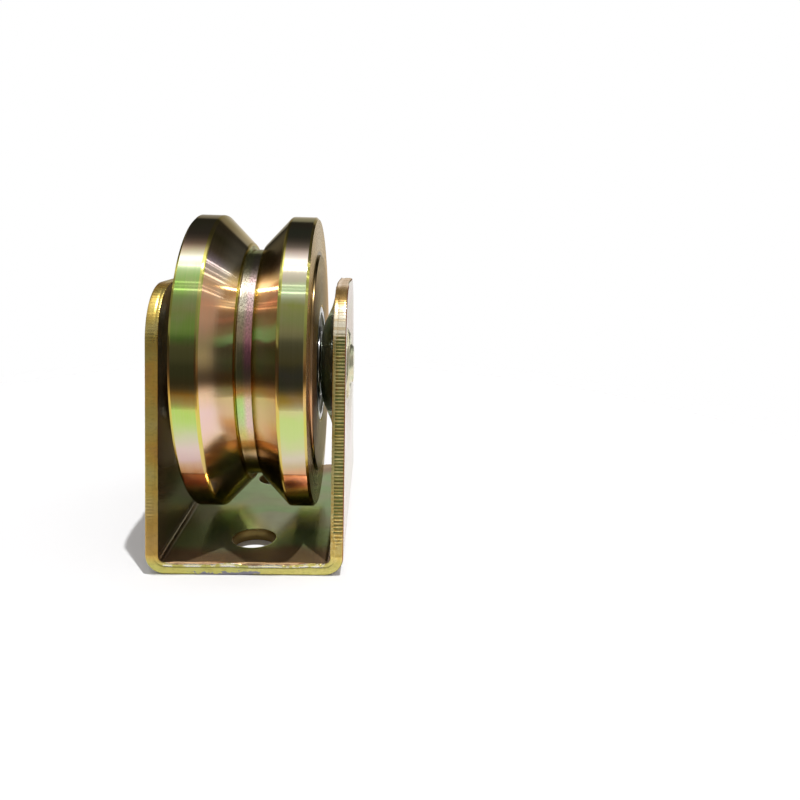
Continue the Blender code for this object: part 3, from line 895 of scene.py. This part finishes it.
def turned_zinc(
    name, left_stops, right_stops, roughness, grooves=1.0, speckle=0.0, drawn_out=1.0, foot_painted_light=0.0, crease_painted_shade=0.0
):
    """Turned steel under yellow passivated zinc: tints run in bands round the wheel, partly film colour
    and partly painted reflection and shade, with fine grooves drawn out round the axle. speckle,
    foot_painted_light and crease_painted_shade are the shares of the dark spots, of the painted cream
    brightening at the left cone's foot and of the painted shade in a brown line round the hub disc."""
    finish, net = new_material(name)
    at = net.millimetres()
    x = net.split(at)[0]
    radius, angle, around = round_axle(net, at)
    bent = net.plus(angle, net.span(net.noise(at, 0.09, 3.0), 0.3, 0.7, -1.6, 1.6))
    # Band tints by angle: film colour, with painted reflection and shade in their brightness
    left = net.ramp(bent, left_stops, -90, 90)
    right = net.ramp(bent, right_stops, -90, 90)
    colour = net.mix(net.span(x, -0.5, 0.5), left, right)
    streak = net.noise(net.stretch(around, 2.2, 2.2, 0.25), 1.4, 3.0, 0.6)
    colour = net.mix(net.span(streak, 0.4, 0.7, 0.0, 0.16), colour, STRAW)
    patch = net.noise(at, 0.12, 2.0)
    colour = net.mix(net.span(patch, 0.5, 0.75, 0.0, 0.3), colour, ROSE)
    # Painted light: a cream brightening at the foot of the left cone
    if foot_painted_light:
        share = net.ease(radius, CONE_FOOT_R + 1.0, CONE_FOOT_R + 5.5, foot_painted_light, 0.0)
        share = net.times(share, net.span(x, -0.5, 0.5, 1.0, 0.0))
        colour = net.mix(share, colour, CREAM)
    # Painted shade: a brown line in the step round the hub disc, stronger higher up
    if crease_painted_shade:
        share = net.span(net.size(net.minus(radius, HUB_R + 0.3)), 0.55, 0.95, crease_painted_shade, 0.0)
        share = net.times(share, net.span(angle, 10.0, 32.0, 0.4, 1.0))
        colour = net.mix(share, colour, UMBER)
    if speckle:
        spots = net.noise(net.stretch(at, 1.6, 0.7, 0.7), 2.6, 3.0, 0.7)
        share = net.span(spots, 0.4, 0.6, speckle, 0.0)
        share = net.times(share, net.span(angle, 5.0, 40.0, 0.35, 1.0))
        colour = net.mix(share, colour, SOOT)
    groove = net.noise(net.stretch(around, 4.0, 4.0, 0.05), 1.3, 2.0, 0.6)
    rough = net.span(streak, 0.3, 0.7, roughness * 0.85, roughness * 1.15)
    tangent = net.node("ShaderNodeTangent", direction_type="RADIAL", axis="X").outputs[0]
    net.wire(Base_Color=colour, Metallic=1.0, Roughness=rough, Tangent=tangent)
    net.wire(Anisotropic=drawn_out, Anisotropic_Rotation=0.25, Specular_Tint=EDGE_TINT)
    net.wire(Normal=net.bump(groove, 0.000006 * grooves, 0.8))
    return finish


def plate_material(name, inside):
    """Rolled plate under yellow zinc: satin, with wide soft clouds of sage, rose and olive. Outside it
    is paler; inside it is browner towards the ends of the base, and on the ears it carries painted shade
    in dark brown."""
    finish, net = new_material(name)
    at = net.millimetres()
    x, y, _ = net.split(at)
    cloud = net.noise(at, 0.045, 2.0, 0.4)
    colour = net.ramp(cloud, PLATE_TINTS, 0.3, 0.7)
    if inside:
        colour = net.mix(0.34, colour, SAGE)
        end = net.plus(net.size(y), net.span(cloud, 0.3, 0.7, -3.0, 3.0))
        colour = net.mix(net.ease(end, 25.0, 31.0, 0.0, 0.9), colour, BROWN)
        # Painted shade: the ears' inner faces darkened to dark brown, the left more than the right
        left = net.ease(x, -19.2, -20.4, 0.0, 0.86)
        right = net.ease(x, 19.2, 20.4, 0.0, 0.5)
        colour = net.mix(net.plus(left, right), colour, DARK_BROWN)
    else:
        colour = net.mix(0.8, colour, PALE_ROSE)
    mottle = net.noise(at, 0.3, 4.0, 0.6)
    colour = net.mix(net.span(mottle, 0.45, 0.7, 0.0, 0.12), colour, DULL_OLIVE)
    grain = net.bump(net.noise(net.stretch(at, 1.0, 0.25, 1.0), 1.6, 3.0, 0.5), 0.000008, 0.6)
    rough = net.span(mottle, 0.3, 0.7, 0.16, 0.23)
    net.wire(Base_Color=colour, Metallic=0.82, Roughness=rough, Normal=grain)
    return finish


def cut_material():
    """The plate's cut edge: gold zinc over sheared and torn steel, with a bare chip under the front,
    painted shade in the base holes, a painted highlight high on the right ear and painted glints along the
    top of the base's end edges."""
    finish, net = new_material("zinc_cut_edge")
    at = net.millimetres()
    x, y, z = net.split(at)
    right = net.span(x, 0.0, 1.0)
    colour = net.ramp(net.noise(at, 0.09, 2.0), CUT_TINTS, 0.3, 0.7)
    colour = net.mix(net.ease(z, 6.0, 2.0, 0.0, 0.8), colour, OLIVE)
    toe = net.times(net.span(x, 0.0, -1.0), net.ease(z, 24.0, 10.0), net.ease(z, 2.0, 6.0, 0.0, 0.6))
    colour = net.mix(toe, colour, RUST)
    torn = net.noise(net.stretch(at, 0.5, 1.0, 1.0), 1.5, 4.0, 0.6)
    colour = net.mix(net.span(torn, 0.5, 0.7, 0.0, 0.3), colour, (0.3, 0.2, 0.06))
    flecks = net.span(net.noise(at, 1.1, 3.0, 0.6), 0.42, 0.62, 0.15, 0.75)
    flecks = net.times(right, flecks, net.span(z, 3.0, 9.0, 0.3, 1.0))
    colour = net.mix(flecks, colour, YELLOW)
    # Painted shade: the walls of the base holes darkened to brown
    for hole_y in (-BASE_HOLE_Y, BASE_HOLE_Y):
        away = net.distance(at, (0.0, hole_y, PLATE / 2))
        share = net.span(away, BASE_HOLE_R + 0.9, BASE_HOLE_R + 0.6, 0.0, 0.75)
        colour = net.mix(share, colour, (0.26, 0.15, 0.06))
    ragged = net.noise(at, 0.8, 4.0, 0.6)
    height = net.plus(z, net.span(ragged, 0.3, 0.7, -0.8, 0.8))
    reach = net.plus(net.size(net.plus(x, 5.0)), net.span(ragged, 0.3, 0.7, -2.5, 2.5))
    chip = net.times(net.span(height, 0.75, 0.45), net.span(reach, 7.4, 6.6), net.span(y, -36.0, -36.6))
    colour = net.mix(chip, colour, BARE_STEEL)
    # Painted highlight: a pale, less metallic stretch high on the right ear
    painted_highlight = net.times(right, net.ease(z, 56.5, 60.0), net.ease(z, 67.0, 64.8))
    colour = net.mix(net.times(painted_highlight, 0.85), colour, IVORY)
    stripes = net.noise(net.join(0.0, 0.0, z), 1.1, 2.0)
    stripes = net.times(right, net.span(stripes, 0.5, 0.58, 0.0, 0.5), net.span(z, 56.0, 58.0))
    colour = net.mix(stripes, colour, (0.66, 0.46, 0.16))
    tip = net.times(right, net.span(z, 65.2, 67.2, 0.0, 0.85))
    colour = net.mix(tip, colour, (0.84, 0.5, 0.17))
    rough = net.minus(net.span(torn, 0.3, 0.7, 0.36, 0.5), net.span(z, 50.0, 58.0, 0.0, 0.16))
    rough = net.minus(net.plus(rough, net.times(chip, 0.2)), net.times(right, 0.08))
    # Painted glints: a broken bright line along the top of the base's end edges, where the zinc is also
    # smoother
    out = net.size(y)
    painted_glint = net.times(net.span(out, 36.4, 36.6), net.span(out, 36.97, 36.9), net.span(z, 1.8, 2.1))
    painted_glint = net.times(painted_glint, net.span(z, 3.6, 3.4), net.span(net.size(x), 20.5, 19.5))
    painted_glint = net.times(painted_glint, net.span(net.noise(at, 0.5), 0.46, 0.54))
    colour = net.mix(painted_glint, colour, (0.98, 0.95, 0.86))
    rough = net.minus(rough, net.times(painted_glint, 0.2))
    metal = net.minus(0.86, net.times(painted_highlight, 0.46))
    net.wire(Base_Color=colour, Metallic=metal, Roughness=rough, Normal=net.bump(torn, 0.00006, 0.5))
    return finish


def torn_and_shade_material():
    """Darker zinc in the valleys between the ridges and on the rolled corner of the cut edge: partly torn
    steel, partly painted shade in the valleys.
    """
    finish, net = new_material("zinc_torn_and_shade")
    at = net.millimetres()
    x = net.split(at)[0]
    colour = net.ramp(net.noise(at, 0.4, 3.0, 0.6), TORN_AND_SHADE_TINTS, 0.3, 0.7)
    outermost = net.span(x, HALF_WIDTH - 0.3, HALF_WIDTH - 0.24)
    colour = net.mix(outermost, colour, (0.34, 0.12, 0.04))
    grain = net.noise(at, 2.4, 4.0, 0.6)
    rough = net.span(grain, 0.3, 0.7, 0.36, 0.52)
    net.wire(Base_Color=colour, Metallic=0.86, Roughness=rough, Normal=net.bump(grain, 0.00006, 0.6))
    return finish


def pale_material():
    """Pale zinc of the bolt and nut."""
    finish, net = new_material("zinc_pale")
    at = net.millimetres()
    around = round_axle(net, at)[2]
    colour = net.ramp(net.noise(at, 0.35, 2.0), PALE_TINTS, 0.3, 0.7)
    fine = net.noise(net.stretch(around, 5.0, 5.0, 0.3), 1.1, 3.0, 0.6)
    net.wire(Base_Color=colour, Metallic=1.0, Roughness=net.span(fine, 0.3, 0.7, 0.22, 0.36))
    net.wire(Normal=net.bump(fine, 0.00005, 0.5))
    return finish


def steel_material(name, colour, tint, roughness):
    """Ground steel, with fine marks round the axle."""
    finish, net = new_material(name)
    at = net.millimetres()
    around = round_axle(net, at)[2]
    fine = net.noise(net.stretch(around, 6.0, 6.0, 0.1), 1.2, 3.0, 0.6)
    shade = net.mix(net.span(net.noise(at, 0.3, 2.0), 0.35, 0.65), colour, tint)
    rough = net.span(fine, 0.3, 0.7, roughness * 0.8, roughness * 1.3)
    net.wire(Base_Color=shade, Metallic=1.0, Roughness=rough, Normal=net.bump(fine, 0.00003, 0.4))
    return finish


def rubber_material():
    """Black rubber with a little dust."""
    finish, net = new_material("seal_rubber_black")
    at = net.millimetres()
    dust = net.noise(at, 0.8, 4.0, 0.6)
    dusty = net.span(dust, 0.45, 0.75, 0.0, 0.5)
    colour = net.mix(dusty, (0.012, 0.012, 0.013), (0.045, 0.04, 0.034))
    net.wire(Base_Color=colour, Roughness=net.span(dust, 0.3, 0.7, 0.34, 0.5))
    net.wire(Normal=net.bump(net.noise(at, 6.0, 2.0), 0.00003, 0.4))
    return finish


wheel_finishes = [
    turned_zinc("zinc_side", SIDE, SIDE, 0.26, grooves=2.0, drawn_out=0.6, crease_painted_shade=0.9),
    turned_zinc("zinc_land", LAND_LEFT, LAND_RIGHT, 0.115),
    turned_zinc("zinc_cone", CONE_LEFT, CONE_RIGHT, 0.11, foot_painted_light=0.8),
    turned_zinc("zinc_relief", RELIEF_LEFT, RELIEF_RIGHT, 0.21, grooves=3.0, speckle=0.6, drawn_out=0.75),
    turned_zinc("zinc_hub", SIDE, SIDE, 0.34, grooves=8.0, speckle=0.6, drawn_out=0.2),
    turned_zinc("zinc_edge", GOLD, GOLD, 0.15),
]
outer_zinc = plate_material("zinc_plate_outer", False)
inner_zinc = plate_material("zinc_plate_inner", True)
cut_zinc = cut_material()
torn_and_shade_zinc = torn_and_shade_material()
pale_zinc = pale_material()
ground_steel = steel_material("steel_ground", (0.58, 0.58, 0.6), (0.46, 0.46, 0.5), 0.18)
ball_steel = steel_material("steel_polished", (0.76, 0.76, 0.78), (0.66, 0.66, 0.7), 0.08)
cage_steel = steel_material("steel_pressed", (0.5, 0.5, 0.52), (0.38, 0.37, 0.36), 0.34)
rubber = rubber_material()

# ---- pieces

wheel_piece()
bracket_piece()
for end_name, end_side in (("left", -1), ("right", 1)):
    bearing_pieces(end_name, end_side)
bolt_pieces()
nut_piece()
for node_name, finish in (
    ("bearing_spacer", ground_steel),
    ("bearing_left_cage", cage_steel),
    ("bearing_right_cage", cage_steel),
):
    for material_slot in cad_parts[node_name].material_slots:
        material_slot.material = finish

# ---- floor and lights


def floor():
    """A white sheet that ends in front of the object and fades out behind it and to its sides. It is
    open under the front base hole, which shows pure white."""
    radius, steps = 260.0, 96
    points = [(0.0, 0.0, 0.0)]
    for angle in angles_round(steps):
        points.append((radius * math.cos(angle), radius * math.sin(angle), 0.0))
    faces = [(0, 1 + step, 1 + (step + 1) % steps) for step in range(steps)]
    finish, net = new_material("white_sheet")
    place_at = net.coordinates()
    y = net.split(place_at)[1]
    away = net.distance(place_at, (0.0, 0.0, 0.0))
    sheet = net.ease(away, 0.17, 0.25, 1.0, 0.0)
    sheet = net.times(sheet, net.span(y, -0.138, -0.132))
    off = net.distance(place_at, (0.0, -(BASE_HOLE_Y + 2.9) * MM, 0.0))
    sheet = net.times(sheet, net.span(off, BASE_HOLE_R * MM, (BASE_HOLE_R + 0.2) * MM))
    net.wire(Base_Color=(0.86, 0.86, 0.87, 1.0), Roughness=0.9, Alpha=sheet, Specular_IOR_Level=0.1)
    item = mesh_object("floor", points, faces, [finish])
    item.location.z = -0.00005


# Light levels (angle, level) of the room, by the angle of the half vector between the photo's view
# and the way to the light. Lines are (angle, width, gain) strips on top of them.
VIEW_SIDE = Vector((0.181, -0.979, 0.085))
ROOM_PEAK = 4.0
ROOM_JOIN = 44.0
ROOM_LOW = (
    (-16, 0.95), (-10.3, 0.93), (-9.3, 0.7), (-8, 0.5), (-6, 0.36), (-4.7, 0.3), (-3.6, 0.17),
    (-2, 0.08), (0, 0.05), (6, 0.055), (9, 0.085), (14, 0.1), (15.6, 0.12), (16.8, 0.17), (18, 0.25),
    (20, 0.31), (26, 0.34), (31, 0.38), (32.6, 0.44), (33.6, 0.62), (36, 0.68), (39, 0.72), (41, 0.8),
    (ROOM_JOIN, 1.05),
)
ROOM_HIGH = (
    (ROOM_JOIN, 1.05), (46.4, 1.5), (47.4, 1.8), (48.2, 2.2), (50, 2.1), (51.2, 1.5), (52.4, 1.18),
    (54.5, 0.74), (56, 0.42), (57.4, 0.21), (59, 0.13), (61, 0.07), (64, 0.04), (78, 0.04), (79.2, 0.14),
    (80.2, 0.29), (82, 0.38), (85, 0.46), (88, 0.6), (94, 0.85), (100, 1.0),
)
LINES = ((45.6, 0.3, 0.8), (38.1, 0.32, 1.0), (36.6, 0.25, 0.5), (35.0, 0.42, 1.5))
FROM_RIGHT = (
    (-16, 0.95), (-8, 0.88), (-5.5, 0.72), (-4.7, 0.55), (-3.6, 0.28), (-2, 0.12), (0, 0.1), (2, 0.14),
    (4, 0.22), (8, 0.34), (13, 0.3), (18, 0.36), (23, 0.44), (31, 0.46), (34, 0.58), (38, 0.56),
    (41, 0.42), (48.5, 0.42), (50, 0.3), (52, 0.17), (54, 0.12), (58, 0.07), (66, 0.07), (71, 0.11),
    (74.5, 0.26), (78, 0.32), (83, 0.44), (87, 0.58), (94, 0.85), (100, 1.0),
)
FROM_LEFT = (
    (-16, 0.84), (-12, 0.72), (-9.3, 0.52), (-8, 0.42), (-6, 0.3), (-3.3, 0.18), (0, 0.09), (9, 0.07),
    (13, 0.07), (13.8, 0.46), (20, 0.46), (21.5, 0.28), (31, 0.28), (33, 0.32), (36, 0.34), (39, 0.44),
    (41, 0.64), (44, 0.8), (46, 0.66), (48, 0.32), (50, 0.14), (55, 0.07), (58, 0.1), (61, 0.18),
    (65, 0.25), (72, 0.29), (80, 0.36), (86, 0.44), (94, 0.55), (100, 0.8),
)
RIGHT_LINES = (
    (49.4, 0.28, 3.2), (48.2, 0.22, 1.8), (45.2, 0.2, 2.0), (42.6, 0.5, 2.2), (41.0, 0.2, 0.6),
    (36.8, 0.2, 1.0), (35.0, 0.28, 2.6),
)
LEFT_LINES = ((43.0, 0.34, 1.0), (41.4, 0.3, 0.6), (35.4, 0.22, 1.2), (34.2, 0.3, 1.6))


def room():
    """A plain studio: white to the camera, and for reflections a room with bright strips overhead
    and a white bench behind."""
    world = bpy.data.worlds.new("studio")
    bpy.context.scene.world = world
    world.use_nodes = True
    net = Net(world.node_tree)
    world.node_tree.nodes.clear()
    toward = net.coordinates("Generated")
    _, half_y, half_z = net.split(net.vector("ADD", toward, tuple(VIEW_SIDE)))
    angle = net.times(net.math("ARCTAN2", half_z, net.times(half_y, -1.0)), 180 / math.pi)

    def level_of(stops):
        scaled_stops = [(place_at, level / ROOM_PEAK) for place_at, level in stops]
        colour = net.ramp(angle, scaled_stops, stops[0][0], stops[-1][0])
        return net.times(net.node("ShaderNodeSeparateColor", {0: colour}).outputs[0], ROOM_PEAK)

    def with_lines(level, lines):
        for centre, width, gain in lines:
            off = net.size(net.minus(angle, centre))
            level = net.plus(level, net.ease(off, width * 0.5, width, gain, 0.0))
        return level

    def blend(share, a, b):
        return net.math("MULTIPLY_ADD", share, net.minus(b, a), a)

    middle = net.minus(net.plus(level_of(ROOM_LOW), level_of(ROOM_HIGH)), ROOM_HIGH[0][1])
    to_side = net.split(toward)[0]
    level = with_lines(middle, LINES)
    level = blend(net.span(to_side, 0.35, 0.6), level, with_lines(level_of(FROM_RIGHT), RIGHT_LINES))
    level = blend(net.span(to_side, -0.35, -0.6), level, with_lines(level_of(FROM_LEFT), LEFT_LINES))
    lit = net.node("ShaderNodeBackground", {0: (1.0, 0.99, 0.98, 1.0), 1: level})
    white = net.node("ShaderNodeBackground", {0: (1.0, 1.0, 1.0, 1.0), 1: 1.0})
    seen = net.node("ShaderNodeLightPath").outputs["Is Camera Ray"]
    both = net.node("ShaderNodeMixShader", {0: seen, 1: lit.outputs[0], 2: white.outputs[0]})
    net.node("ShaderNodeOutputWorld", {0: both.outputs[0]})


SUN_RIGHT = math.radians(9.8)
SUN_FRONT = math.radians(3.6)
SUN_WIDTH = math.radians(1.2)


def sun(power):
    """A small far lamp almost overhead, a little right and front: it draws the crisp shadows."""
    data = bpy.data.lights.new("key", "SUN")
    data.energy = power
    data.angle = SUN_WIDTH
    new_object("key", data).rotation_euler = (SUN_FRONT, SUN_RIGHT, 0.0)


floor()
room()
sun(2.2)

# ---- camera

CAMERA_PLACE = (0.03194, -0.203, 0.0885)
YAW = math.radians(1.93)
PITCH = math.radians(14.46)
ROLL = math.radians(1.44)
SENSOR = 36.0
FOCAL = 0.9125 * SENSOR

ahead = Vector((math.sin(YAW) * math.cos(PITCH), math.cos(YAW) * math.cos(PITCH), -math.sin(PITCH)))
level_right = Vector((math.cos(YAW), -math.sin(YAW), 0))
level_up = level_right.cross(ahead)
right_way = level_right * math.cos(ROLL) + level_up * math.sin(ROLL)
up_way = level_up * math.cos(ROLL) - level_right * math.sin(ROLL)
camera_data = bpy.data.cameras.new("camera")
camera_data.lens = FOCAL
camera_data.sensor_width = SENSOR
camera_data.clip_start = 0.005
camera_data.clip_end = 10.0
camera = new_object("camera", camera_data)
turned = Matrix((right_way, up_way, -ahead)).transposed().to_4x4()
camera.matrix_world = Matrix.Translation(CAMERA_PLACE) @ turned
bpy.context.scene.camera = camera
view = bpy.context.scene.view_settings
view.view_transform = "Standard"
view.look = "None"
